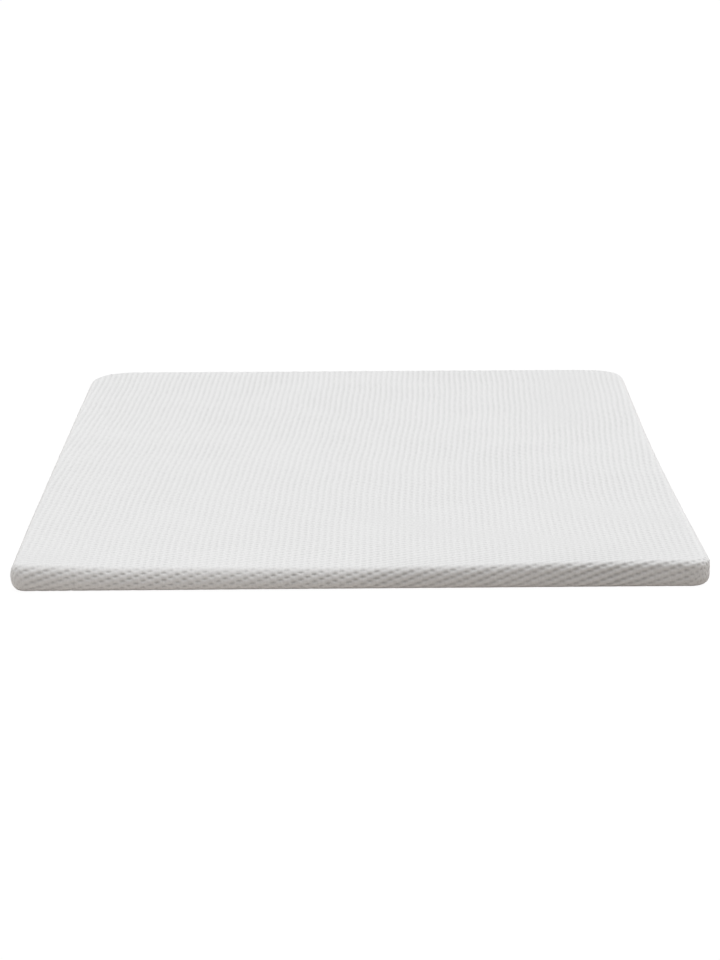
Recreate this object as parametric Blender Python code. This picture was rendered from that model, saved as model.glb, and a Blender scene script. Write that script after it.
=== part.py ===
"""A mattress topper for a double bed: a foam slab in a stretchy knitted cover, lying flat.

Metres, +Z up. The origin is on the resting face, under the middle of the plan, and -Y is the front end.
The topper is one soft solid. Its plan is a rectangle with four unlike rounded corners and one side that is
drawn in a little. Its rim is a roll at the top, a short wall and a roll at the base, and their sizes change
on the way round, because the foam is softer along some of its edges than along others.
"""

import math

import bmesh
import bpy

NODE_NAME = "topper"

# The whole topper
WIDTH = 1.350
LENGTH = 1.900
THICKNESS = 0.056

# Plan radius of each corner, anticlockwise from the front left one
CORNER_RADII = (
    ("front_left", 0.031),
    ("front_right", 0.041),
    ("back_right", 0.080),
    ("back_left", 0.113),
)
# How far each side is drawn in at its middle, anticlockwise from the front one
SIDE_DRAW_IN = (
    ("front", 0.000),
    ("right", 0.009),
    ("back", 0.000),
    ("left", 0.000),
)
DRAW_IN_SHARPNESS = 1.15

# The rim on its way round. "around" is 0 at the front left corner, 1 at the front right one, 2 at the back
# right one and 3 at the back left one. Each roll is a quarter of an ellipse: the top one runs "top_in" from
# the outline and "top_down" from the top, the base one "base_in" and "base_up" from the floor. "sag" is how
# far the top droops towards that side.
RIM_COLUMNS = ("around", "top_in", "top_down", "base_in", "base_up", "sag")
RIM = (
    (0.00, 0.017, 0.026, 0.015, 0.026, 0.0005),
    (0.20, 0.018, 0.030, 0.016, 0.016, 0.0090),
    (0.36, 0.018, 0.030, 0.017, 0.015, 0.0110),
    (0.48, 0.017, 0.028, 0.017, 0.014, 0.0120),
    (0.62, 0.014, 0.022, 0.017, 0.014, 0.0090),
    (0.80, 0.013, 0.017, 0.017, 0.015, 0.0030),
    (0.94, 0.016, 0.014, 0.017, 0.015, 0.0005),
    (1.01, 0.022, 0.013, 0.015, 0.017, 0.0000),
    (1.30, 0.017, 0.017, 0.016, 0.016, 0.0010),
    (1.70, 0.018, 0.022, 0.016, 0.016, 0.0010),
    (2.00, 0.020, 0.025, 0.020, 0.020, 0.0020),
    (2.50, 0.019, 0.021, 0.016, 0.016, 0.0010),
    (3.00, 0.018, 0.022, 0.020, 0.020, 0.0000),
    (3.40, 0.017, 0.018, 0.016, 0.016, 0.0000),
    (3.75, 0.016, 0.019, 0.018, 0.018, 0.0000),
)
SAG_REACH = 0.150

# The top dips a little between the places where the foam is fullest
DIP_DEPTH = 0.0015
DIP_WAVES = ((1.5, 1.0, 0.4), (0.8, 2.5, 1.9))
DIP_FADE = 0.150

# Steps of the mesh
SIDE_STEPS = (24, 28, 22, 28)
CORNER_STEPS = 8
ROLL_STEPS = 6
WALL_STEPS = 2
TOP_RINGS = (0.975, 0.94, 0.89, 0.82, 0.72, 0.60, 0.46, 0.30, 0.14)

COVER_COLOR = (0.80, 0.80, 0.79, 1.0)
COVER_ROUGHNESS = 0.9


def clear_scene():
    for obj in list(bpy.data.objects):
        bpy.data.objects.remove(obj)


def ease(share):
    """A smooth step from 0 to 1."""
    share = min(max(share, 0.0), 1.0)
    return share * share * (3.0 - 2.0 * share)


def rim_at(around):
    """The rim's sizes at one place, by name, eased between the two rows of RIM on either side of it."""
    around %= len(CORNER_RADII)
    first = RIM[0]
    closing = (first[0] + len(CORNER_RADII),) + first[1:]
    rows = RIM + (closing,)
    for before, after in zip(rows, rows[1:]):
        if around <= after[0]:
            break
    share = ease((around - before[0]) / (after[0] - before[0]))
    sizes = (a + (b - a) * share for a, b in zip(before, after))
    return dict(zip(RIM_COLUMNS, sizes))


def plan_stations():
    """The plan outline, anticlockwise: (x, y, outward x, outward y, around) at each station."""
    corners = (
        (-WIDTH / 2, -LENGTH / 2),
        (WIDTH / 2, -LENGTH / 2),
        (WIDTH / 2, LENGTH / 2),
        (-WIDTH / 2, LENGTH / 2),
    )
    stations = []
    for side, (start, steps) in enumerate(zip(corners, SIDE_STEPS)):
        end = corners[(side + 1) % len(corners)]
        heading = math.radians(90.0 * side)
        along = (math.cos(heading), math.sin(heading))
        outward = (along[1], -along[0])
        length = math.dist(start, end)
        start_radius = CORNER_RADII[side][1]
        end_radius = CORNER_RADII[(side + 1) % len(corners)][1]
        centre = (
            start[0] + start_radius * (along[0] - outward[0]),
            start[1] + start_radius * (along[1] - outward[1]),
        )
        for step in range(1, CORNER_STEPS):
            turn = heading - math.pi + math.radians(90.0) * step / CORNER_STEPS
            nx, ny = math.cos(turn), math.sin(turn)
            share = step / CORNER_STEPS
            reach = start_radius / length * (2.0 * share - 1.0)
            stations.append((centre[0] + start_radius * nx, centre[1] + start_radius * ny, nx, ny, side + reach))
        straight = length - start_radius - end_radius
        for step in range(steps + 1):
            share = step / steps
            travel = start_radius + straight * share
            draw_in = SIDE_DRAW_IN[side][1] * math.sin(math.pi * share) ** DRAW_IN_SHARPNESS
            x = start[0] + along[0] * travel - outward[0] * draw_in
            y = start[1] + along[1] * travel - outward[1] * draw_in
            stations.append((x, y, outward[0], outward[1], side + travel / length))
    return stations


def droop(x, y):
    """How far the top lies below its full height because the foam sags towards the four sides."""
    across = x / WIDTH + 0.5
    along = y / LENGTH + 0.5
    sides = (
        (across, along * LENGTH),
        (1.0 + along, (1.0 - across) * WIDTH),
        (3.0 - across, (1.0 - along) * LENGTH),
        (4.0 - along, across * WIDTH),
    )
    return sum(rim_at(around)["sag"] * (1.0 - ease(distance / SAG_REACH)) for around, distance in sides)


def dip(x, y):
    """How far the top lies below its full height between the places where the foam is fullest."""
    wave = 1.0
    for across, along, phase in DIP_WAVES:
        wave *= math.cos(2.0 * math.pi * (across * x / WIDTH + along * y / LENGTH) + phase)
    from_edge = min(WIDTH / 2 - abs(x), LENGTH / 2 - abs(y))
    return DIP_DEPTH * (0.5 - 0.5 * wave) * ease(from_edge / DIP_FADE)


def top_height(x, y):
    return THICKNESS - droop(x, y) - dip(x, y)


def rim_profile(station):
    """The points of the rim's section at one station, from the flat base up to the top."""
    x, y, nx, ny, around = station
    rim = rim_at(around)
    edge = top_height(x - nx * rim["top_in"], y - ny * rim["top_in"])
    shoulder = edge - rim["top_down"]
    section = []
    for step in range(ROLL_STEPS + 1):
        turn = math.radians(90.0) * (1.0 - step / ROLL_STEPS)
        section.append((rim["base_in"] * (1.0 - math.cos(turn)), rim["base_up"] * (1.0 - math.sin(turn))))
    for step in range(1, WALL_STEPS):
        section.append((0.0, rim["base_up"] + (shoulder - rim["base_up"]) * step / WALL_STEPS))
    for step in range(ROLL_STEPS + 1):
        turn = math.radians(90.0) * step / ROLL_STEPS
        section.append((rim["top_in"] * (1.0 - math.cos(turn)), shoulder + rim["top_down"] * math.sin(turn)))
    return [(x - nx * inset, y - ny * inset, height) for inset, height in section]


def build_topper():
    """Lofts the rings of the rim and of the top, and closes them with the flat base and the top's middle."""
    mesh = bmesh.new()
    profiles = [rim_profile(station) for station in plan_stations()]
    rings = [[mesh.verts.new(point) for point in ring] for ring in zip(*profiles)]
    for scale in TOP_RINGS:
        places = [(profile[-1][0] * scale, profile[-1][1] * scale) for profile in profiles]
        rings.append([mesh.verts.new((x, y, top_height(x, y))) for x, y in places])
    count = len(profiles)
    for lower, upper in zip(rings, rings[1:]):
        for index in range(count):
            after = (index + 1) % count
            mesh.faces.new((lower[index], lower[after], upper[after], upper[index]))
    middle = mesh.verts.new((0.0, 0.0, top_height(0.0, 0.0)))
    for index in range(count):
        mesh.faces.new((rings[-1][index], rings[-1][(index + 1) % count], middle))
    mesh.faces.new(reversed(rings[0]))
    data = bpy.data.meshes.new(NODE_NAME)
    mesh.to_mesh(data)
    mesh.free()
    data.shade_smooth()
    return bpy.data.objects.new(NODE_NAME, data)


def knit_cover_material():
    material = bpy.data.materials.new("knit_cover")
    material.use_nodes = True
    shader = material.node_tree.nodes["Principled BSDF"]
    shader.inputs["Base Color"].default_value = COVER_COLOR
    shader.inputs["Roughness"].default_value = COVER_ROUGHNESS
    shader.inputs["Metallic"].default_value = 0.0
    return material


def main():
    clear_scene()
    collection = bpy.data.collections.new("mattress_topper")
    bpy.context.scene.collection.children.link(collection)
    topper = build_topper()
    topper.data.materials.append(knit_cover_material())
    collection.objects.link(topper)


if __name__ == "__main__":
    main()
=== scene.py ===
"""The looks of a mattress topper for a double bed: a foam slab in a puffy white knitted cover, lying flat.

Metres, +Z up. The origin is on the resting face, under the middle of the plan, and -Y is the front end.
The cover is one closed, padded piece. Its knit is laid out flat as a lattice of small staggered hollows, and
is then wrapped over the foam: across the top, over the rolled rim and a little way under the base.
"""

import logging
import math
from dataclasses import dataclass, field, fields
from enum import Enum

import bmesh
import bpy
import numpy as np
from mathutils import Matrix, Vector


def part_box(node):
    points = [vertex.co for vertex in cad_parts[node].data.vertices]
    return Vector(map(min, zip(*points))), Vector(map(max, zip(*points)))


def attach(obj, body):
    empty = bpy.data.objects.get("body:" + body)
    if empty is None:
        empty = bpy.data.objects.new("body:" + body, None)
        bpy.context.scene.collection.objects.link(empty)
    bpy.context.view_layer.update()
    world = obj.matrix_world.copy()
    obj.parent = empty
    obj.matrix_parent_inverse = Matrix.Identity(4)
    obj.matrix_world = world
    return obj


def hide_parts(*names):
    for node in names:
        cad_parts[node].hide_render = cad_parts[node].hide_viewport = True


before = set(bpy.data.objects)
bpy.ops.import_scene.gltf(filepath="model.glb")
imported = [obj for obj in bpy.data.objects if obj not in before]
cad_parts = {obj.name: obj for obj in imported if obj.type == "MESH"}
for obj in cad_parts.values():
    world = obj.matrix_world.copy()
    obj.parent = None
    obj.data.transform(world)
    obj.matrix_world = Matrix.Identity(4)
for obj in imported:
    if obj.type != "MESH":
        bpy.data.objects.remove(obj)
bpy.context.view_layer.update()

LOG = logging.getLogger("mattress_topper")

Node, NodeSocket, NodeTree = bpy.types.Node, bpy.types.NodeSocket, bpy.types.NodeTree

NODE = "topper"
BODY = "root"
MILLIMETRE = 0.001

# The names under which the cover's mesh keeps its place in the knit
KNIT_MAP = "knit"
KNIT_PLACE = "knit_place"
JOINED = "joined"
TAUT = "taut"
STRENGTH = "strength"

# The kind of node that does the sums, in shader and geometry trees alike
MATH = "ShaderNodeMath"


class Side(Enum):
    """The sides of the plan, anticlockwise from the front one, each with its outward direction."""

    FRONT = (0.0, -1.0)
    RIGHT = (1.0, 0.0)
    BACK = (0.0, 1.0)
    LEFT = (-1.0, 0.0)

    @property
    def number(self) -> int:
        """The side's place in the order round the plan."""
        return list(Side).index(self)

    @property
    def outward(self) -> np.ndarray:
        """The direction out of the topper, across this side."""
        return np.array(self.value)

    @property
    def along(self) -> np.ndarray:
        """The direction from the side's first corner to its second."""
        return np.array((-self.value[1], self.value[0]))


@dataclass(frozen=True)
class Rim:
    """The rim's section at one place on its way round: a roll at the top, a wall and a roll at the base.

    "around" is 0 at the front left corner, 1 at the front right one, 2 at the back right one and 3 at the
    back left one. Each roll is a quarter of an ellipse: the top one runs "top_in" from the outline and
    "top_down" from the top, the base one "base_in" and "base_up" from the floor. "sag" is how far the top
    droops towards that side.
    """

    around: float
    top_in: float
    top_down: float
    base_in: float
    base_up: float
    sag: float


RIMS = (
    Rim(0.00, 0.017, 0.026, 0.015, 0.026, 0.0005),
    Rim(0.20, 0.018, 0.030, 0.016, 0.016, 0.0090),
    Rim(0.36, 0.018, 0.030, 0.017, 0.015, 0.0110),
    Rim(0.48, 0.017, 0.028, 0.017, 0.014, 0.0120),
    Rim(0.62, 0.014, 0.022, 0.017, 0.014, 0.0090),
    Rim(0.80, 0.013, 0.017, 0.017, 0.015, 0.0030),
    Rim(0.94, 0.016, 0.014, 0.017, 0.015, 0.0005),
    Rim(1.01, 0.022, 0.013, 0.015, 0.017, 0.0000),
    Rim(1.30, 0.017, 0.017, 0.016, 0.016, 0.0010),
    Rim(1.70, 0.018, 0.022, 0.016, 0.016, 0.0010),
    Rim(2.00, 0.020, 0.025, 0.020, 0.020, 0.0020),
    Rim(2.50, 0.019, 0.021, 0.016, 0.016, 0.0010),
    Rim(3.00, 0.018, 0.022, 0.020, 0.020, 0.0000),
    Rim(3.40, 0.017, 0.018, 0.016, 0.016, 0.0000),
    Rim(3.75, 0.016, 0.019, 0.018, 0.018, 0.0000),
)


def ease(share: np.ndarray) -> np.ndarray:
    """A smooth step from 0 to 1."""
    share = np.clip(share, 0.0, 1.0)
    return share * share * (3.0 - 2.0 * share)


def linear_colour(hex_code: str) -> tuple[float, float, float, float]:
    """Turns an sRGB colour into the linear one that Blender's nodes use.

    Args:
        hex_code: The colour as six hexadecimal digits, such as "F2EFEA".

    Returns:
        Red, green, blue and an alpha of 1.
    """
    channels = (int(hex_code[start : start + 2], 16) / 255.0 for start in (0, 2, 4))
    red, green, blue = (c / 12.92 if c <= 0.04045 else ((c + 0.055) / 1.055) ** 2.4 for c in channels)
    return red, green, blue, 1.0


def add_node(tree: NodeTree, kind: str, inputs: dict | None = None, **settings) -> Node:
    """Adds a node to a tree, with its settings, values and links.

    Args:
        tree: The shader or geometry tree.
        kind: The node's type, such as "ShaderNodeMath".
        inputs: What each input gets, by its name or number: a value, a node's output socket, or a node,
            which stands for its first output.
        **settings: The node's own properties.

    Returns:
        The new node.
    """
    node = tree.nodes.new(kind)
    for name, value in settings.items():
        setattr(node, name, value)
    for key, value in (inputs or {}).items():
        if isinstance(value, Node):
            value = value.outputs[0]
        if isinstance(value, NodeSocket):
            tree.links.new(value, node.inputs[key])
        else:
            node.inputs[key].default_value = value
    return node


def add_wave(tree: NodeTree, place: NodeSocket, turn: float) -> Node:
    """Adds a wave that is 1 where a place is 0, and 0 halfway to where it is 1 again.

    Args:
        tree: A shader or geometry tree.
        place: The place in the knit.
        turn: The wave's angle for each step of the place, in radians.

    Returns:
        The node that gives the wave.
    """
    angle = add_node(tree, MATH, {0: place, 1: turn}, operation="MULTIPLY")
    wave = add_node(tree, MATH, {0: angle}, operation="COSINE")
    return add_node(tree, MATH, {0: wave, 1: 0.5, 2: 0.5}, operation="MULTIPLY_ADD", use_clamp=True)


@dataclass
class KnitPlaces:
    """The sockets that say, in a shader or geometry tree, how each point of the cover lies in the knit.

    "column" and "row" count the columns and rows of hollows, "joined" is how far the hollows of a chain
    have run together, "taut" is 1 on the stretched top and 0 on the walls, and "where" is the point itself.
    """

    column: NodeSocket
    row: NodeSocket
    joined: NodeSocket
    taut: NodeSocket
    where: NodeSocket


@dataclass(frozen=True)
class HollowPattern:
    """The form of the knit's hollows, for the relief of the mesh and for the finish alike.

    The hollows are staggered: there is one wherever the column and the row are both even or both odd. On
    the walls they are short dashes. Where the knit is pulled they first grow wider and then run together
    to chains. On the top, where the knit is taut, they are shallower, and part of each one spreads out to
    a furrow along its column. "length" and "width" are how steeply a hollow rises to its ends and to its
    sides: the higher, the shorter and the narrower. "joined_share" is what is left of "width" in a chain.
    "unevenness" is how much the depth changes from patch to patch, of which there are "patches_a_metre".
    """

    length: float = 0.9
    width: float = 2.8
    joined_share: float = 0.35
    furrow_share: float = 0.24
    furrow_depth: float = 0.40
    taut_share: float = 0.90
    unevenness: float = 1.2
    patches_a_metre: float = 1.0 / (140.0 * MILLIMETRE)
    seed: int = 7

    def sizes(self) -> dict[str, float]:
        """The pattern's values, by their names."""
        return {each.name: float(getattr(self, each.name)) for each in fields(self)}


def add_lattice_waves(tree: NodeTree, places: KnitPlaces) -> tuple[Node, Node]:
    """Adds the two slanting waves that are both 1 in the middle of a hollow and both 0 on a crest.

    Args:
        tree: A shader or geometry tree.
        places: How the points lie in the knit.

    Returns:
        The nodes that give the wave along the chains of hollows and the one across them.
    """
    both = {0: places.column, 1: places.row}
    chain, cross = (add_node(tree, MATH, both, operation=name).outputs[0] for name in ("ADD", "SUBTRACT"))
    return add_wave(tree, chain, math.pi), add_wave(tree, cross, math.pi)


def add_hollows(tree: NodeTree, sizes: dict, places: KnitPlaces) -> Node:
    """Adds how deep in a hollow each point of the knit is.

    Args:
        tree: A shader or geometry tree.
        sizes: The values of a HollowPattern, or sockets that give them, by their names.
        places: How the points lie in the knit.

    Returns:
        The node that gives the depth, from 0 between the hollows to about 1 in the deepest ones.
    """
    along, across = add_lattice_waves(tree, places)
    dash = add_node(tree, MATH, {0: along, 1: sizes["length"]}, operation="POWER")
    linked = add_node(tree, MATH, {0: places.joined, 1: places.joined}, operation="MULTIPLY")
    filled = add_node(tree, "ShaderNodeMapRange", {"Value": dash, "To Min": linked, "To Max": 1.0})
    wide = {"Value": places.joined, "To Min": 1.0, "To Max": sizes["joined_share"]}
    wider = add_node(tree, "ShaderNodeMapRange", wide)
    width = add_node(tree, MATH, {0: sizes["width"], 1: wider}, operation="MULTIPLY")
    narrow = add_node(tree, MATH, {0: across, 1: width}, operation="POWER")
    chain = add_node(tree, MATH, {0: narrow, 1: filled}, operation="MULTIPLY")

    wave = add_wave(tree, places.column, 2.0 * math.pi)
    furrow = add_node(tree, MATH, {0: wave, 1: sizes["furrow_depth"]}, operation="MULTIPLY")
    spread = add_node(tree, MATH, {0: places.taut, 1: sizes["furrow_share"]}, operation="MULTIPLY")
    hollow = add_node(tree, "ShaderNodeMix", {"Factor": spread, "A": chain, "B": furrow})

    patches = add_node(
        tree,
        "ShaderNodeTexNoise",
        {"Vector": places.where, "Scale": sizes["patches_a_metre"], "W": sizes["seed"], "Detail": 2.0},
        noise_dimensions="4D",
    )
    swing = add_node(tree, MATH, {0: patches, 1: 0.5}, operation="SUBTRACT")
    fuller = add_node(tree, MATH, {0: swing, 1: sizes["unevenness"], 2: 1.0}, operation="MULTIPLY_ADD")
    uneven = add_node(tree, MATH, {0: hollow, 1: fuller}, operation="MULTIPLY")
    shallow = {"Value": places.taut, "To Min": 1.0, "To Max": sizes["taut_share"]}
    shallower = add_node(tree, "ShaderNodeMapRange", shallow)
    return add_node(tree, MATH, {0: uneven, 1: shallower}, operation="MULTIPLY")


@dataclass
class Wrapped:
    """How the points of a flat fabric come to lie on the slab.

    "left" is how far each point is from where the flat base begins (negative past it), "narrowed" is how
    much narrower than in the flat the fabric is there round a corner, as a share, and "rolled" is how far
    the point is round the top roll, 0 on the top and 1 on the wall.
    """

    places: np.ndarray
    left: np.ndarray
    narrowed: np.ndarray
    rolled: np.ndarray


@dataclass
class EdgePoints:
    """How the points of a flat fabric lie to the line where its wrap round the rim begins.

    "past" is how far past the line each point is, "outward" its direction, "around" its place on the way
    round and "foot" where it meets the line. "bend" is the radius of the corner that it goes round and
    "reach" its distance from that corner's centre in the flat (0 and 1 along the sides).
    """

    past: np.ndarray
    outward: np.ndarray
    around: np.ndarray
    foot: np.ndarray
    bend: np.ndarray
    reach: np.ndarray


@dataclass
class FoamSlab:
    """The shape that the cover is filled to: the foam's plan, its rim and its top.

    "corner_radii" are those of the corners where the sides of Side start, and "dip_waves" are the waves of
    the top's dips, each by its number across and along the topper and its starting angle.

    The slab also says how a flat fabric lies on it. On the top a point of the fabric lies where it is in
    the flat. Past a line that runs "lay_in" inside the outline, the fabric follows the rim's section at
    its own length: over the top roll, down the wall, round the base roll and less than "turn_room" under
    the base, with "turn_in" to spare. Round a corner its rows stay level nearly up to the diagonal, more
    so the higher "corner_power" is.
    """

    width: float
    length: float
    thickness: float
    rims: tuple[Rim, ...] = RIMS
    corner_radii: tuple[float, ...] = (0.031, 0.041, 0.080, 0.113)
    drawn_side: Side = Side.RIGHT
    draw_in: float = 0.009
    draw_in_sharpness: float = 1.15
    sag_reach: float = 0.150
    dip_depth: float = 0.0015
    dip_waves: tuple[tuple[float, float, float], ...] = ((1.5, 1.0, 0.4), (0.8, 2.5, 1.9))
    dip_fade: float = 0.150
    lay_in: float = 0.022
    turn_in: float = 0.016
    turn_room: float = 0.008
    corner_power: float = 5.0
    corner_easing: float = 0.030
    roll_steps: int = 24

    @property
    def sides(self) -> tuple[float, ...]:
        """The length of each side, in the order of Side."""
        return (self.width, self.length, self.width, self.length)

    @property
    def halves(self) -> np.ndarray:
        """Half the width and half the length."""
        return np.array((self.width, self.length)) / 2.0

    def rim_at(self, around: np.ndarray) -> dict[str, np.ndarray]:
        """Eases the rim's sizes between the two rims on either side of each place.

        Args:
            around: Places on the way round, as in Rim.

        Returns:
            The sizes at those places, by their names in Rim.
        """
        names = [each.name for each in fields(Rim)]
        table = np.array([[getattr(rim, name) for name in names] for rim in (*self.rims, self.rims[0])])
        table[-1, 0] += len(Side)
        around = around % len(Side)
        after = np.clip(np.searchsorted(table[:, 0], around), 1, len(table) - 1)
        before = after - 1
        share = ease((around - table[before, 0]) / (table[after, 0] - table[before, 0]))
        sizes = table[before] + (table[after] - table[before]) * share[:, None]
        return {name: sizes[:, index] for index, name in enumerate(names)}

    def droop(self, places: np.ndarray) -> np.ndarray:
        """Works out how the top droops because the foam sags towards its sides.

        Args:
            places: Places on the top.

        Returns:
            How far it droops there.
        """
        total = np.zeros(len(places))
        for side, length in zip(Side, self.sides):
            around = side.number + places @ side.along / length + 0.5
            distance = abs(self.halves @ side.outward) - places @ side.outward
            total += self.rim_at(around)["sag"] * (1.0 - ease(distance / self.sag_reach))
        return total

    def dip(self, places: np.ndarray) -> np.ndarray:
        """Works out how the top dips between the places where the foam is fullest.

        Args:
            places: Places on the top.

        Returns:
            How far it dips there.
        """
        wave = np.ones(len(places))
        for across, along, phase in self.dip_waves:
            turns = across * places[:, 0] / self.width + along * places[:, 1] / self.length
            wave *= np.cos(2.0 * math.pi * turns + phase)
        from_edge = (self.halves - abs(places)).min(axis=1)
        return self.dip_depth * (0.5 - 0.5 * wave) * ease(from_edge / self.dip_fade)

    def top_height(self, places: np.ndarray) -> np.ndarray:
        """The height of the top at each (x, y)."""
        return self.thickness - self.droop(places) - self.dip(places)

    def drawn(self, places: np.ndarray) -> np.ndarray:
        """Works out how the plan is drawn in at the middle of one side.

        Args:
            places: Places in the plan.

        Returns:
            How far each moves, as (x, y) steps.
        """
        side = self.drawn_side
        radii = self.corner_radii
        start, end = radii[side.number], radii[(side.number + 1) % len(radii)]
        length = self.sides[side.number]
        share = (places @ side.along + length / 2.0 - start) / (length - start - end)
        depth = self.draw_in * np.sin(math.pi * np.clip(share, 0.0, 1.0)) ** self.draw_in_sharpness
        reach = abs(self.halves @ side.outward) - self.lay_in
        return -(depth * ease(places @ side.outward / reach))[:, None] * side.outward

    def edge_points(self, flat: np.ndarray) -> EdgePoints:
        """Finds how each point of the flat fabric lies to the line where the wrap begins.

        Args:
            flat: The points of the flat fabric.

        Returns:
            How each one lies.
        """
        past = np.full(len(flat), -np.inf)
        outward = np.zeros((len(flat), 2))
        around = np.zeros(len(flat))
        for side, length in zip(Side, self.sides):
            distance = flat @ side.outward - (abs(self.halves @ side.outward) - self.lay_in)
            nearest = distance > past
            past[nearest] = distance[nearest]
            outward[nearest] = side.outward
            around[nearest] = side.number + flat[nearest] @ side.along / length + 0.5
        foot = flat - outward * past[:, None]
        bend, reach = np.zeros(len(flat)), np.ones(len(flat))
        order = list(Side)
        for number, corner_radius in enumerate(self.corner_radii):
            before, after = order[number - 1], order[number]
            centre = (before.outward + after.outward) * (self.halves - corner_radius)
            first, second = (flat - centre) @ before.outward, (flat - centre) @ after.outward
            inside = (first > 0.0) & (second > 0.0)
            first, second = first[inside], second[inside]
            reach[inside] = np.hypot(first, second)
            straight = (first**self.corner_power + second**self.corner_power) ** (1.0 / self.corner_power)
            begun = ease((reach[inside] - corner_radius + self.lay_in) / self.corner_easing)
            past[inside] = reach[inside] + (straight - reach[inside]) * begun - (corner_radius - self.lay_in)
            outward[inside] = (flat[inside] - centre) / reach[inside][:, None]
            foot[inside] = centre + outward[inside] * (corner_radius - self.lay_in)
            share = np.arctan2(second, first) / math.radians(90.0)
            around[inside] = number + corner_radius / self.sides[number] * (2.0 * share - 1.0)
            bend[inside] = corner_radius
        return EdgePoints(past, outward, around, foot, bend, reach)

    def roll_turns(self, across: np.ndarray, up: np.ndarray) -> tuple[np.ndarray, np.ndarray]:
        """Measures quarter ellipses, each from the end where it meets the wall.

        Args:
            across: How far each roll runs in from the outline.
            up: How far each roll runs up or down.

        Returns:
            The angles at which the rolls are measured, and the length of each roll up to each angle.
        """
        turns = np.linspace(0.0, math.radians(90.0), self.roll_steps + 1)
        steps = np.hypot(np.outer(across, np.diff(np.cos(turns))), np.outer(up, np.diff(np.sin(turns))))
        return turns, np.hstack((np.zeros((len(across), 1)), np.cumsum(steps, axis=1)))

    def turn_at(self, turns: np.ndarray, lengths: np.ndarray, travel: np.ndarray) -> np.ndarray:
        """Finds how far round its roll each point is.

        Args:
            turns: The angles at which the rolls are measured.
            lengths: The length of each roll up to each angle.
            travel: The length of each roll up to its point.

        Returns:
            The angle on each roll at which it has that length.
        """
        travel = np.clip(travel, 0.0, lengths[:, -1])
        step = np.clip((lengths <= travel[:, None]).sum(axis=1) - 1, 0, self.roll_steps - 1)
        row = np.arange(len(travel))
        share = (travel - lengths[row, step]) / (lengths[row, step + 1] - lengths[row, step])
        return turns[step] + share * (turns[step + 1] - turns[step])

    def wrap(self, flat: np.ndarray) -> Wrapped:
        """Lays points of a flat fabric over the slab.

        Args:
            flat: The points of the flat fabric, as (x, y).

        Returns:
            Where they come to lie.
        """
        points = self.edge_points(flat)
        past, outward = points.past, points.outward
        rim = self.rim_at(points.around)
        outline = points.foot + outward * self.lay_in + self.drawn(points.foot)
        edge = self.top_height(outline - outward * rim["top_in"][:, None])
        shoulder = edge - rim["top_down"]
        turns, top_lengths = self.roll_turns(rim["top_in"], rim["top_down"])
        _, base_lengths = self.roll_turns(rim["base_in"], rim["base_up"])
        level = self.lay_in - rim["top_in"]
        wall_start = level + top_lengths[:, -1]
        wall_end = wall_start + shoulder - rim["base_up"]
        base_start = wall_end + base_lengths[:, -1]

        top_turn = self.turn_at(turns, top_lengths, wall_start - past)
        base_turn = self.turn_at(turns, base_lengths, past - wall_end)
        beyond = np.clip(past - base_start, 0.0, None)
        zones = (past < level, past < wall_start, past < wall_end, past < base_start)
        inset = np.select(
            zones,
            (
                self.lay_in - past,
                rim["top_in"] * (1.0 - np.cos(top_turn)),
                0.0,
                rim["base_in"] * (1.0 - np.cos(base_turn)),
            ),
            rim["base_in"] + self.turn_room * np.tanh(beyond / self.turn_room),
        )
        places = np.where((past <= 0.0)[:, None], flat + self.drawn(flat), outline - outward * inset[:, None])
        height = np.select(
            zones,
            (
                self.top_height(places),
                shoulder + rim["top_down"] * np.sin(top_turn),
                shoulder - (past - wall_start),
                rim["base_up"] * (1.0 - np.sin(base_turn)),
            ),
            0.0,
        )
        bent = (points.bend > 0.0) & (past > 0.0)
        narrowed = np.where(bent, (points.bend - inset) / points.reach, 1.0)
        return Wrapped(
            places=np.column_stack((places, height)),
            left=base_start - past,
            narrowed=np.clip(narrowed, 0.0, 1.0),
            rolled=np.clip((past - level) / (wall_start - level), 0.0, 1.0),
        )


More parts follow.
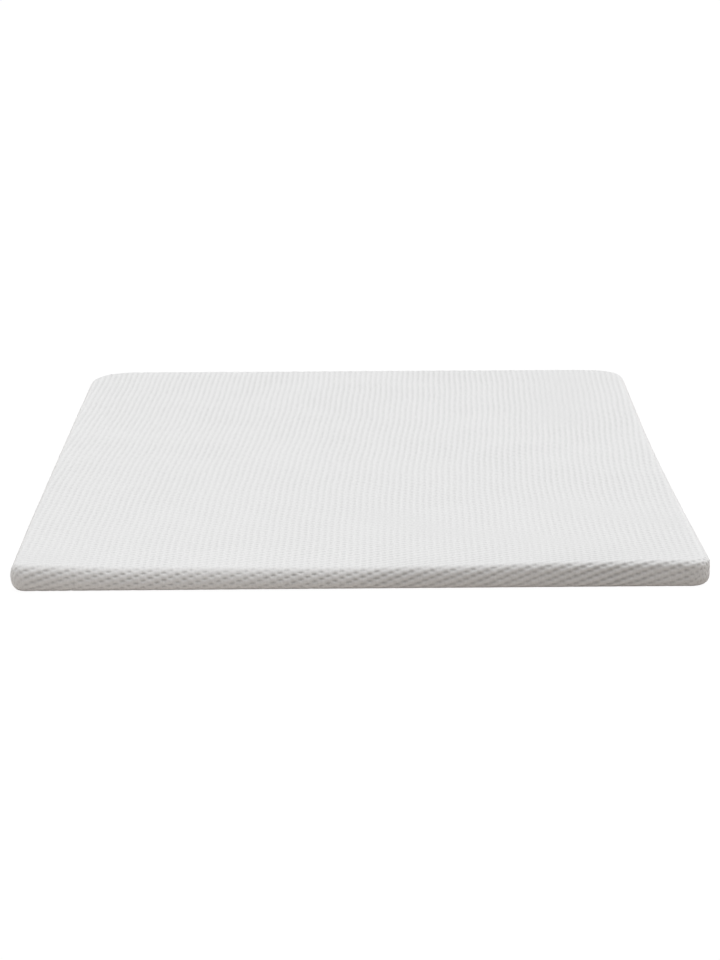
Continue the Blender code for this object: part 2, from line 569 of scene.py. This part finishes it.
@dataclass
class KnitLattice:
    """Where the hollows of the knit lie in the flat fabric, before it is wrapped over the slab.

    The columns run from the front to the back and lean a little, most where "lean_middle" says. The rows
    fall to the right. Both wander slowly, as in any stretched knit: "wander_waves" gives, for the columns
    and then for the rows, the waves in "wander_length", how far their start swings to and fro, and how
    many such swings there are in it. Each depends on the other, so they settle in "settle_steps" steps.
    """

    column_pitch: float = 13.2 * MILLIMETRE
    row_pitch: float = 6.9 * MILLIMETRE
    row_fall: float = 0.15
    lean_least: float = 0.020
    lean_most: float = 0.065
    lean_middle: float = 0.10
    lean_reach: float = 0.40
    wander: float = 0.8 * MILLIMETRE
    wander_length: float = 0.31
    wander_waves: tuple[tuple[float, float, float], ...] = ((1.0, 1.7, 0.6), (0.8, 1.3, 0.5))
    settle_steps: int = 6

    def lean(self, along: np.ndarray) -> np.ndarray:
        """Works out how far a column has moved to the right.

        Args:
            along: Distances along the topper.

        Returns:
            The move at each.
        """
        swing = (self.lean_most - self.lean_least) * self.lean_reach * math.sqrt(math.pi) / 2.0
        reached = (along - self.lean_middle) / self.lean_reach
        return self.lean_least * along + swing * np.array([math.erf(value) for value in reached])

    def fabric_at(self, column: np.ndarray, row: np.ndarray) -> np.ndarray:
        """Finds the points of the flat fabric at places in the knit.

        Args:
            column: The places across, counted in columns of hollows.
            row: The places along, counted in rows of hollows.

        Returns:
            The points of the flat fabric.
        """
        across, along = column * self.column_pitch, row * self.row_pitch
        x, y = across.copy(), along.copy()
        turn = 2.0 * math.pi / self.wander_length
        for _ in range(self.settle_steps):
            stray_x, stray_y = (
                self.wander * np.sin(waves * turn * run + swing * np.sin(swings * turn * side))
                for (waves, swing, swings), run, side in zip(self.wander_waves, (y, x), (x, y))
            )
            x = across + self.lean(y) + stray_x
            y = along - self.row_fall * x + stray_y
        return np.column_stack((x, y))


@dataclass(frozen=True)
class KnitFinish:
    """Bleached polyester jersey, circular knitted over a puffy backing that draws it in to small hollows.

    It is a soft, even white with no gloss. Its fibres catch a little light at a shallow angle. Its hollows
    are painted a shade darker than its crests, as painted shade for the shade that falls in them. Close up,
    its stitches stand in narrow ribs. "even_share" is how much of that painted shade goes on the smooth
    places of the top, which keeps the top evenly white.
    """

    name: str = "bleached_polyester_jersey"
    crest_colour: str = "E6E6E6"
    # Painted shade: the darker colour that the hollows are mixed towards, standing in for the shade that
    # falls in them
    hollow_shade_colour: str = "C4C4C4"
    roughness: float = 0.88
    specular_level: float = 0.2
    sheen_weight: float = 0.06
    sheen_roughness: float = 0.5
    pattern: HollowPattern = HollowPattern()
    hollow_depth: float = 0.7 * MILLIMETRE
    even_share: float = 0.20
    fleck_share: float = 0.09
    flecks_a_column: float = 3.2
    flecks_a_row: float = 1.0
    ribs_a_column: float = 5.0
    courses_a_row: float = 3.0
    course_share: float = 0.25
    stitch_depth: float = 0.12 * MILLIMETRE
    fuzz_size: float = 1.4 * MILLIMETRE
    fuzz_depth: float = 0.10 * MILLIMETRE

    def material(self) -> bpy.types.Material:
        """Builds the knit's material on the cover's own knit map.

        Returns:
            The material.
        """
        material = bpy.data.materials.new(self.name)
        material.use_nodes = True
        tree = material.node_tree
        shader = tree.nodes["Principled BSDF"]
        shader.inputs["Roughness"].default_value = self.roughness
        shader.inputs["Specular IOR Level"].default_value = self.specular_level
        shader.inputs["Sheen Weight"].default_value = self.sheen_weight
        shader.inputs["Sheen Roughness"].default_value = self.sheen_roughness

        place = add_node(tree, "ShaderNodeUVMap", uv_map=KNIT_MAP).outputs["UV"]
        counts = add_node(tree, "ShaderNodeSeparateXYZ", {0: place}).outputs
        where = add_node(tree, "ShaderNodeTexCoord").outputs["Object"]
        joined, taut, strength = (
            add_node(tree, "ShaderNodeAttribute", attribute_name=name).outputs["Fac"]
            for name in (JOINED, TAUT, STRENGTH)
        )
        knit = KnitPlaces(counts["X"], counts["Y"], joined, taut, where)
        depth = add_hollows(tree, self.pattern.sizes(), knit)
        hollow = add_node(tree, MATH, {0: depth, 1: strength}, operation="MULTIPLY", use_clamp=True)
        smooth = add_node(tree, MATH, {0: 1.0, 1: strength}, operation="SUBTRACT")
        on_top = add_node(tree, MATH, {0: smooth, 1: taut}, operation="MULTIPLY")
        # Painted shade: the hollows, and a share of the smooth top, are mixed towards the darker hollow
        # colour, for the shade that falls in the hollows
        shaded = {0: on_top, 1: self.even_share, 2: hollow}
        shade = add_node(tree, MATH, shaded, operation="MULTIPLY_ADD", use_clamp=True)
        colour = add_node(
            tree,
            "ShaderNodeMix",
            {"Factor": shade, "A": linear_colour(self.crest_colour), "B": linear_colour(self.hollow_shade_colour)},
            data_type="RGBA",
        )
        flecks = {"Value": self.add_flecks(tree, place), "Color": colour.outputs["Result"]}
        flecked = add_node(tree, "ShaderNodeHueSaturation", flecks)
        tree.links.new(flecked.outputs["Color"], shader.inputs["Base Color"])

        stitches = self.add_stitches(tree, knit)
        fibres = {"Vector": where, "Scale": 1.0 / self.fuzz_size, "Detail": 2.0}
        fuzz = add_node(tree, "ShaderNodeTexNoise", fibres)
        relief = None
        for height, size, inward in (
            (hollow, self.hollow_depth, True),
            (stitches, self.stitch_depth, False),
            (fuzz, self.fuzz_depth, False),
        ):
            bump = add_node(tree, "ShaderNodeBump", {"Distance": size, "Height": height}, invert=inward)
            if relief is not None:
                tree.links.new(relief, bump.inputs["Normal"])
            relief = bump.outputs["Normal"]
        tree.links.new(relief, shader.inputs["Normal"])
        return material

    def add_flecks(self, tree: NodeTree, place: NodeSocket) -> Node:
        """Adds the short light and dark flecks that uneven yarn gives along the columns.

        Args:
            tree: The material's tree.
            place: The place in the knit, as (column, row).

        Returns:
            The node that gives the brightness of each point, about 1.
        """
        counts = (self.flecks_a_column, self.flecks_a_row, 1.0)
        scaled = add_node(tree, "ShaderNodeVectorMath", {0: place, 1: counts}, operation="MULTIPLY")
        yarn = {"Vector": scaled, "Scale": 1.0, "Detail": 1.0}
        noise = add_node(tree, "ShaderNodeTexNoise", yarn, noise_dimensions="2D")
        brightness = {"Value": noise, "To Min": 1.0 - self.fleck_share, "To Max": 1.0 + self.fleck_share}
        return add_node(tree, "ShaderNodeMapRange", brightness, clamp=False)

    def add_stitches(self, tree: NodeTree, places: KnitPlaces) -> Node:
        """Adds the ribs and courses of the jersey.

        A real stitch is about 1 mm wide, which is too fine to show, so these are drawn at about 2.5 mm.

        Args:
            tree: The material's tree.
            places: How the points lie in the knit.

        Returns:
            The node that gives the height of the stitches, about 0 to 1.
        """
        rib_turn, course_turn = math.pi * self.ribs_a_column, 2.0 * math.pi * self.courses_a_row
        angle = add_node(tree, MATH, {0: places.column, 1: rib_turn}, operation="MULTIPLY")
        rib_wave = add_node(tree, MATH, {0: angle}, operation="SINE")
        rib = add_node(tree, MATH, {0: rib_wave}, operation="ABSOLUTE")
        slant = add_node(tree, MATH, {0: places.row, 1: course_turn, 2: rib}, operation="MULTIPLY_ADD")
        course = add_node(tree, MATH, {0: slant}, operation="SINE")
        return add_node(tree, MATH, {0: course, 1: self.course_share, 2: rib}, operation="MULTIPLY_ADD")


@dataclass(frozen=True)
class Spot:
    """A place on the cover where it was put on a little differently: a line with a soft reach round it.

    The change is "share" on the line, and fades over the outer part, "softness", of "reach".
    """

    start: tuple[float, float]
    end: tuple[float, float]
    reach: float
    share: float
    softness: float = 0.6

    def at(self, places: np.ndarray) -> np.ndarray:
        """Works out how much the cover is changed.

        Args:
            places: Places on the cover.

        Returns:
            The change at each, from 0 to the spot's share.
        """
        start, run = np.array(self.start), np.subtract(self.end, self.start)
        travel = np.clip((places[:, :2] - start) @ run / (run @ run), 0.0, 1.0)
        distance = np.linalg.norm(places[:, :2] - start - travel[:, None] * run, axis=1)
        return self.share * ease((1.0 - distance / self.reach) / self.softness)


@dataclass
class KnitCover:
    """The knitted cover on its foam: the whole topper, one closed padded piece.

    "pulled" is where the hollows run together, and "slack" is where they are shallower on the top. The
    strengths are their share of "hollow_depth" and of the finish's painted shade in the hollows, on the walls
    from left to right and on the top from front to back. From "roll_end" on, the top roll's knit is as on
    the walls. On the way there it loses "smooth_share" of its depth, between the two shares of the way in
    "smoothest". The hollows fade out to the base from "fade_to" to "fade_from". "stray" is how far, at
    random, the knit is off its lattice.
    """

    slab: FoamSlab
    lattice: KnitLattice = field(default_factory=KnitLattice)
    finish: KnitFinish = field(default_factory=KnitFinish)
    pulled: tuple[Spot, ...] = (
        Spot((0.33, -0.95), (0.52, -0.95), 0.25, 0.74, softness=1.0),
        Spot((0.10, -0.95), (0.30, -0.95), 0.22, 0.70, softness=1.0),
        Spot((-0.69, -0.95), (-0.66, -0.95), 0.14, 0.66),
    )
    slack: tuple[Spot, ...] = (
        Spot((0.47, 0.35), (0.52, 0.85), 0.16, 0.60, softness=1.0),
        Spot((-0.64, -0.92), (-0.60, -0.92), 0.12, 0.40),
        Spot((0.04, -0.57), (0.16, -0.71), 0.09, 0.60, softness=1.0),
        Spot((0.16, -0.71), (0.42, -0.79), 0.08, 0.55, softness=1.0),
        Spot((0.39, -0.51), (0.66, -0.66), 0.09, 0.50, softness=1.0),
    )
    left_strength: float = 0.80
    right_strength: float = 1.00
    front_strength: float = 0.66
    back_strength: float = 1.36
    hollow_depth: float = 1.7 * MILLIMETRE
    crest_lift: float = 0.3 * MILLIMETRE
    stray: float = 0.35 * MILLIMETRE
    fade_from: float = 1.0 * MILLIMETRE
    fade_to: float = 7.0 * MILLIMETRE
    roll_end: float = 0.55
    smooth_share: float = 0.50
    smoothest: tuple[float, float] = (0.25, 0.50)
    fill: float = 0.9
    name: str = "knitted_cover"

    def build(self) -> bpy.types.Object:
        """Builds the cover with its hollows and its finish.

        Returns:
            The cover's object.
        """
        mesh = self.sheet()
        self.close_base(mesh)
        smooth = bpy.data.objects.new(self.name, mesh)
        bpy.context.scene.collection.objects.link(smooth)
        cover = self.with_hollows(smooth, self.finish.material())
        LOG.info("%s: %d faces", cover.name, len(cover.data.polygons))
        return cover

    def knit_points(self) -> tuple[np.ndarray, np.ndarray]:
        """Lists the points of the flat knit.

        Returns:
            The (column, row) of each, and the numbers of those on the lattice, of those halfway to the next
            column and of those halfway to the next row.
        """
        lattice, slab = self.lattice, self.slab
        spare = slab.thickness + slab.turn_in + lattice.wander
        half_width = slab.width / 2.0 + spare + lattice.lean_most * slab.length
        half_length = slab.length / 2.0 + spare + lattice.row_fall * slab.width
        columns = math.ceil(half_width / lattice.column_pitch)
        rows = math.ceil(half_length / lattice.row_pitch)
        across, along = np.arange(-columns, columns + 1), np.arange(-rows, rows + 1)
        grids = [
            np.meshgrid(across + step_across, along + step_along, indexing="ij")
            for step_across, step_along in ((0.0, 0.0), (0.5, 0.0), (0.0, 0.5))
        ]
        knit = np.vstack([np.column_stack((column.ravel(), row.ravel())) for column, row in grids])
        return knit, np.arange(len(knit)).reshape(len(grids), len(across), len(along))

    def sheet(self) -> bpy.types.Mesh:
        """Builds the wrapped knit, open under the base.

        Each cell of the lattice lies between two columns and two rows. Its corners are two hollows and two
        crests, and a point in the middle of each of its edges carries the slope between them. The sheet
        ends all round with the first cells that reach the flat base.

        Returns:
            The mesh, with the knit's columns and rows and how it is stretched kept at its points.
        """
        knit, (corner, middle, side) = self.knit_points()
        flat = self.lattice.fabric_at(knit[:, 0], knit[:, 1])
        flat += np.random.default_rng(self.finish.pattern.seed).normal(0.0, self.stray, flat.shape)
        wrapped = self.slab.wrap(flat)

        ring = (
            corner[:-1, :-1], middle[:-1, :-1], corner[1:, :-1], side[1:, :-1],
            corner[1:, 1:], middle[:-1, 1:], corner[:-1, 1:], side[:-1, :-1],
        )
        cells = np.stack([each.ravel() for each in ring], axis=1)
        cells = cells[(wrapped.left[cells] > 0.0).any(axis=1)]
        steps = len(ring)
        corners = [cells[:, (step, (step + 1) % steps, (step - 1) % steps)] for step in range(0, steps, 2)]
        used = np.unique(cells)
        renumber = np.full(len(knit), -1)
        renumber[used] = np.arange(len(used))
        faces = renumber[np.vstack(corners)].tolist() + renumber[cells[:, 1::2]].tolist()

        places = wrapped.places[used]
        mesh = bpy.data.meshes.new(self.name)
        mesh.from_pydata(places.tolist(), [], faces)
        kept = mesh.attributes.new(KNIT_PLACE, "FLOAT_VECTOR", "POINT")
        kept.data.foreach_set("vector", np.column_stack((knit[used], np.zeros(len(used)))).ravel())
        for name, values in self.stretch(places, wrapped.rolled[used], wrapped.narrowed[used]).items():
            mesh.attributes.new(name, "FLOAT", "POINT").data.foreach_set("value", values)
        mesh.shade_smooth()
        return mesh

    def stretch(self, places: np.ndarray, rolled: np.ndarray, narrowed: np.ndarray) -> dict[str, np.ndarray]:
        """Works out how the knit is stretched, and so how deep its hollows are, at each point of the sheet.

        Args:
            places: The points of the wrapped knit.
            rolled: How far each one is round the top roll, as in Wrapped.
            narrowed: How much narrower the fabric is there, as in Wrapped.

        Returns:
            The values at the points, by the names under which the mesh keeps them.
        """
        above = ease((places[:, 2] - self.fade_from) / (self.fade_to - self.fade_from))
        rolled = rolled / self.roll_end
        first, last = self.smoothest
        over_roll = ease(rolled / first) * (1.0 - ease((rolled - last) / (1.0 - last)))
        taut = 1.0 - ease(rolled)
        back_share = places[:, 1] / self.slab.length + 0.5
        on_top = self.front_strength + (self.back_strength - self.front_strength) * back_share
        on_top *= 1.0 - np.max([spot.at(places) for spot in self.slack], axis=0)
        right_share = places[:, 0] / self.slab.width + 0.5
        on_wall = self.left_strength + (self.right_strength - self.left_strength) * right_share
        strength = on_wall + (on_top - on_wall) * taut
        return {
            JOINED: np.max([spot.at(places) for spot in self.pulled], axis=0),
            TAUT: taut,
            STRENGTH: above * narrowed * (1.0 - self.smooth_share * over_roll) * strength,
        }

    def close_base(self, mesh: bpy.types.Mesh) -> None:
        """Closes the sheet with a flat base of the same jersey, and lays the knit map over all of it.

        Args:
            mesh: The sheet's mesh, which is changed.
        """
        sheet_faces = len(mesh.polygons)
        work = bmesh.new()
        work.from_mesh(mesh)
        rim = [edge for edge in work.edges if edge.is_boundary]
        base = bmesh.ops.contextual_create(work, geom=rim)["faces"]
        bmesh.ops.recalc_face_normals(work, faces=work.faces)
        bmesh.ops.triangulate(work, faces=base)
        for face in work.faces:
            face.smooth = True
        work.to_mesh(mesh)
        work.free()

        points = np.empty(len(mesh.loops), dtype=np.int64)
        mesh.loops.foreach_get("vertex_index", points)
        knit = np.empty(len(mesh.vertices) * 3)
        mesh.attributes[KNIT_PLACE].data.foreach_get("vector", knit)
        places = np.empty(len(mesh.vertices) * 3)
        mesh.vertices.foreach_get("co", places)
        uv = knit.reshape(-1, 3)[points, :2]
        # The faces of the base come after those of the sheet, and their map is the knit laid out flat
        start = mesh.polygons[sheet_faces].loop_start
        pitches = (self.lattice.column_pitch, self.lattice.row_pitch)
        uv[start:] = places.reshape(-1, 3)[points[start:], :2] / pitches
        mesh.uv_layers.new(name=KNIT_MAP).uv.foreach_set("vector", uv.ravel())

    def hollows_tree(self) -> tuple[NodeTree, dict[str, str]]:
        """Builds the tree that draws the knit in to its hollows and puffs it up between them.

        Returns:
            The tree, and the identifier of each of its named inputs.
        """
        tree = bpy.data.node_groups.new("knit_hollows", "GeometryNodeTree")
        tree.interface.new_socket("Geometry", in_out="OUTPUT", socket_type="NodeSocketGeometry")
        kinds = {"Geometry": "NodeSocketGeometry", "Finish": "NodeSocketMaterial"}
        sockets = {}
        for name in ("Geometry", "Hollow depth", "Crest lift", *self.finish.pattern.sizes(), "Finish"):
            kind = kinds.get(name, "NodeSocketFloat")
            sockets[name] = tree.interface.new_socket(name, in_out="INPUT", socket_type=kind)
        given = add_node(tree, "NodeGroupInput").outputs

        kept = {KNIT_PLACE: "FLOAT_VECTOR", JOINED: "FLOAT", TAUT: "FLOAT", STRENGTH: "FLOAT"}
        reader = "GeometryNodeInputNamedAttribute"
        place, joined, taut, strength = (
            add_node(tree, reader, {"Name": name}, data_type=kind).outputs["Attribute"]
            for name, kind in kept.items()
        )
        counts = add_node(tree, "ShaderNodeSeparateXYZ", {0: place}).outputs
        where = add_node(tree, "GeometryNodeInputPosition").outputs[0]
        knit = KnitPlaces(counts["X"], counts["Y"], joined, taut, where)
        hollow = add_hollows(tree, given, knit)
        drawn = add_node(tree, MATH, {0: hollow, 1: given["Hollow depth"]}, operation="MULTIPLY")
        waves = add_lattice_waves(tree, knit)
        off = [add_node(tree, MATH, {0: 1.0, 1: wave}, operation="SUBTRACT") for wave in waves]
        crest = add_node(tree, MATH, {0: off[0], 1: off[1]}, operation="MULTIPLY")
        lifted = add_node(tree, MATH, {0: crest, 1: given["Crest lift"]}, operation="MULTIPLY")
        relief = add_node(tree, MATH, {0: lifted, 1: drawn}, operation="SUBTRACT")

        height = add_node(tree, MATH, {0: relief, 1: strength}, operation="MULTIPLY")
        normal = add_node(tree, "GeometryNodeInputNormal")
        offset = add_node(tree, "ShaderNodeVectorMath", {0: normal, "Scale": height}, operation="SCALE")
        moved = add_node(tree, "GeometryNodeSetPosition", {"Geometry": given["Geometry"], "Offset": offset})
        real = add_node(tree, "GeometryNodeRealizeInstances", {"Geometry": moved})
        dressed = add_node(tree, "GeometryNodeSetMaterial", {"Geometry": real, "Material": given["Finish"]})
        add_node(tree, "NodeGroupOutput", {"Geometry": dressed})
        return tree, {name: socket.identifier for name, socket in sockets.items()}

    def with_hollows(self, smooth: bpy.types.Object, material: bpy.types.Material) -> bpy.types.Object:
        """Runs the tree of hollows on the smooth cover and keeps the result as a plain mesh.

        Args:
            smooth: The smooth cover, whose mesh is replaced.
            material: The knit's material.

        Returns:
            The same object, with its hollows.
        """
        tree, identifiers = self.hollows_tree()
        modifier = smooth.modifiers.new("hollows", "NODES")
        modifier.node_group = tree
        for name, value in (
            ("Hollow depth", self.hollow_depth),
            ("Crest lift", self.crest_lift),
            *self.finish.pattern.sizes().items(),
            ("Finish", material),
        ):
            modifier[identifiers[name]] = value
        made = bpy.data.meshes.new_from_object(smooth.evaluated_get(bpy.context.evaluated_depsgraph_get()))
        smooth.modifiers.remove(modifier)
        plain = smooth.data
        smooth.data = made
        bpy.data.meshes.remove(plain)
        made.name = self.name
        return smooth


@dataclass(frozen=True)
class PaperFinish:
    """Matt white backdrop paper, rolled out flat and lit until it is as good as white.

    It gives a clean white ground with no gloss and no grain.
    """

    name: str
    colour: str
    glow_colour: str
    glow: float
    see_through_from_below: bool = False

    def material(self) -> bpy.types.Material:
        """Builds the paper's material.

        Returns:
            The material.
        """
        material = bpy.data.materials.new(self.name)
        material.use_nodes = True
        tree = material.node_tree
        shader = tree.nodes["Principled BSDF"]
        shader.inputs["Base Color"].default_value = linear_colour(self.colour)
        shader.inputs["Roughness"].default_value = 1.0
        shader.inputs["Specular IOR Level"].default_value = 0.0
        shader.inputs["Emission Color"].default_value = linear_colour(self.glow_colour)
        shader.inputs["Emission Strength"].default_value = self.glow
        if self.see_through_from_below:
            below = add_node(tree, "ShaderNodeNewGeometry").outputs["Backfacing"]
            clear = add_node(tree, "ShaderNodeBsdfTransparent")
            mix = add_node(tree, "ShaderNodeMixShader", {0: below, 1: shader, 2: clear})
            tree.links.new(mix.outputs[0], tree.nodes["Material Output"].inputs["Surface"])
        return material


class LampKind(Enum):
    """The two ways in which the studio is lit: one wide even light, and flat panels that stand near."""

    EVEN = "SUN"
    PANEL = "AREA"


@dataclass(frozen=True)
class Lamp:
    """One soft white lamp. An even light has a spread in degrees, and a panel a width and a height."""

    name: str
    kind: LampKind
    strength: float
    place: tuple[float, float, float]
    aim: tuple[float, float, float]
    spread: float = 0.0
    width: float = 0.0
    height: float = 0.0

    def add(self) -> None:
        """Adds the lamp to the scene, where the camera doesn't see it."""
        light = bpy.data.lights.new(self.name, self.kind.value)
        light.energy = self.strength
        if self.kind is LampKind.EVEN:
            light.angle = math.radians(self.spread)
        else:
            light.shape = "RECTANGLE"
            light.size, light.size_y = self.width, self.height
        holder = bpy.data.objects.new(self.name, light)
        holder.location = self.place
        heading = Vector(self.aim) - Vector(self.place)
        holder.rotation_euler = heading.to_track_quat("-Z", "Y").to_euler()
        holder.visible_camera = False
        bpy.context.scene.collection.objects.link(holder)


LAMPS = (
    Lamp("overhead", LampKind.EVEN, 3.445, (0.15, 0.08, 1.0), (0.0, 0.0, 0.0), spread=50.0),
    Lamp("panel_right", LampKind.PANEL, 16.0, (3.6, 0.2, 0.20), (0.6, 0.2, 0.03), width=2.6, height=0.3),
    Lamp("panel_left", LampKind.PANEL, 34.0, (-3.6, 0.9, 0.20), (-0.6, 0.3, 0.03), width=3.0, height=0.3),
    Lamp("panel_front", LampKind.PANEL, 11.0, (-2.2, -3.2, 0.15), (-0.2, -0.9, 0.03), width=2.0, height=0.3),
    Lamp(
        "panel_near", LampKind.PANEL, 0.60, (-0.52, -1.75, 0.12), (-0.42, -0.9, 0.03), width=0.8, height=0.24
    ),
    Lamp(
        "panel_corner", LampKind.PANEL, 0.165, (0.56, -1.5, 0.12), (0.56, -0.9, 0.03), width=0.4, height=0.24
    ),
)


@dataclass
class Studio:
    """A pale floor, soft lamps overhead and round the topper, and the camera at a low angle in front."""

    lamps: tuple[Lamp, ...] = LAMPS
    floor_left_right: float = 60.0
    floor_front: float = -60.0
    floor_back: float = 90.0
    floor_gap: float = 0.3 * MILLIMETRE
    seen_floor: PaperFinish = PaperFinish("backdrop_paper", "3A3A3A", "FFFFFF", 0.97, True)
    bounce_floor: PaperFinish = PaperFinish("backdrop_paper_bounce", "AFA9A3", "FFF1E7", 0.12)
    image_height: int = 960
    sensor: float = 36.0
    focal_length_px: float = 2862.0
    camera_place: tuple[float, float, float] = (-0.0101, -6.2475, 1.4830)
    camera_turn: float = 0.114
    camera_down: float = 13.428
    camera_roll: float = -0.412

    def build(self) -> None:
        """Builds the floor, the lights and the camera."""
        self.add_floor("floor", -self.floor_gap, self.seen_floor, seen=True)
        self.add_floor("floor_bounce", -2.0 * self.floor_gap, self.bounce_floor, seen=False)
        for lamp in self.lamps:
            lamp.add()
        self.add_camera()
        world = bpy.data.worlds.new("dark_studio")
        world.use_nodes = True
        world.node_tree.nodes["Background"].inputs["Strength"].default_value = 0.0
        bpy.context.scene.world = world
        bpy.context.scene.view_settings.view_transform = "Standard"
        LOG.info("studio: floor, %d lamps and camera", len(self.lamps))

    def add_floor(self, name: str, height: float, finish: PaperFinish, seen: bool) -> None:
        """Adds one sheet of backdrop paper.

        Args:
            name: The object's name.
            height: Its height.
            finish: Its paper.
            seen: Whether the camera sees this sheet, or only the light that it throws back.
        """
        side, front, back = self.floor_left_right, self.floor_front, self.floor_back
        corners = ((-side, front), (side, front), (side, back), (-side, back))
        mesh = bpy.data.meshes.new(name)
        mesh.from_pydata([(x, y, height) for x, y in corners], [], [(0, 1, 2, 3)])
        mesh.materials.append(finish.material())
        floor = bpy.data.objects.new(name, mesh)
        floor.visible_camera = seen
        floor.visible_diffuse = floor.visible_glossy = floor.visible_shadow = not seen
        bpy.context.scene.collection.objects.link(floor)

    def add_camera(self) -> None:
        """Adds the camera at the photograph's angle and makes it the scene's own."""
        turn, down, roll = map(math.radians, (self.camera_turn, self.camera_down, self.camera_roll))
        ahead = Vector((math.sin(turn) * math.cos(down), math.cos(turn) * math.cos(down), -math.sin(down)))
        level = Vector((math.cos(turn), -math.sin(turn), 0.0))
        upward = level.cross(ahead)
        right = math.cos(roll) * level + math.sin(roll) * upward
        top = math.cos(roll) * upward - math.sin(roll) * level
        camera = bpy.data.cameras.new("camera")
        camera.sensor_width = self.sensor
        camera.lens = self.sensor * self.focal_length_px / self.image_height
        holder = bpy.data.objects.new("camera", camera)
        facing = Matrix((right, top, -ahead)).transposed().to_4x4()
        holder.matrix_world = Matrix.Translation(self.camera_place) @ facing
        bpy.context.scene.collection.objects.link(holder)
        bpy.context.scene.camera = holder


def declare(cover: bpy.types.Object) -> None:
    """Attaches the cover to the root body and hides the model's part that it stands for.

    Args:
        cover: The finished cover.
    """
    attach(cover, BODY)
    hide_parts(NODE)


def main() -> None:
    logging.basicConfig(level=logging.INFO, format="%(name)s: %(message)s")
    Studio().build()
    low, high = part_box(NODE)
    slab = FoamSlab(width=high.x - low.x, length=high.y - low.y, thickness=high.z - low.z)
    cover = KnitCover(slab)
    declare(cover.build())


if __name__ == "__main__":
    main()
